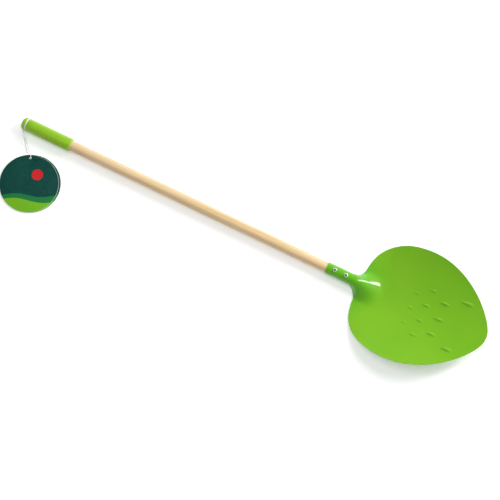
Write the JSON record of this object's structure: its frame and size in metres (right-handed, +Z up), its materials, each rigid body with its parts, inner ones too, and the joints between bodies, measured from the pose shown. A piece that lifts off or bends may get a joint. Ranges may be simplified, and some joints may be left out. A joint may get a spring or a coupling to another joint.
{
  "type": "sand shovel",
  "caption": "Long-handled child's sand shovel: leaf-shaped dished sheet blade with a rolled socket, round wooden stick, sleeve grip and a round card tag on a thread.",
  "frame": {"origin": "middle of the shovel's length and width, on the ground that its grip and heel lie on", "axes": "+X along the stick from the grip to the blade's tip, +Y across the blade, +Z up out of the blade's face"},
  "size_m": [0.7661, 0.2125, 0.037],
  "materials": {
    "leaf_paint": "glossy leaf-green enamel on pressed steel sheet",
    "pale_wood": "smooth pale hardwood, clear satin varnish",
    "grip_plastic": "glossy moulded leaf-green plastic",
    "screw_steel": "bright zinc-plated steel",
    "white_thread": "twisted white cotton thread",
    "tag_card": "printed card, satin"
  },
  "bodies": {
    "shovel": {"blade": "leaf_paint", "handle_stick": "pale_wood", "grip": "grip_plastic", "rear_screw": "screw_steel", "front_screw": "screw_steel"},
    "thread": {"string_hitch": "white_thread", "tag_string": "white_thread"},
    "front_leaf": {"tag_front_leaf": "tag_card"},
    "back_leaf": {"tag_back_leaf": "tag_card"}
  },
  "joints": [
    {"name": "thread_swing", "type": "hinge", "parent": "shovel", "child": "thread", "pos_m": [-0.375, 0, 0.0102], "axis": [-1, 0, 0], "continuous": true},
    {"name": "front_leaf_turn", "type": "hinge", "parent": "thread", "child": "front_leaf", "pos_m": [-0.348, -0.043, 0.003], "axis": [0.0127, -0.0229, 0.9997], "range_deg": [-45, 45]},
    {"name": "back_leaf_turn", "type": "hinge", "parent": "thread", "child": "back_leaf", "pos_m": [-0.348, -0.043, 0.003], "axis": [0.0127, -0.0229, 0.9997], "range_deg": [-45, 45]}
  ]
}
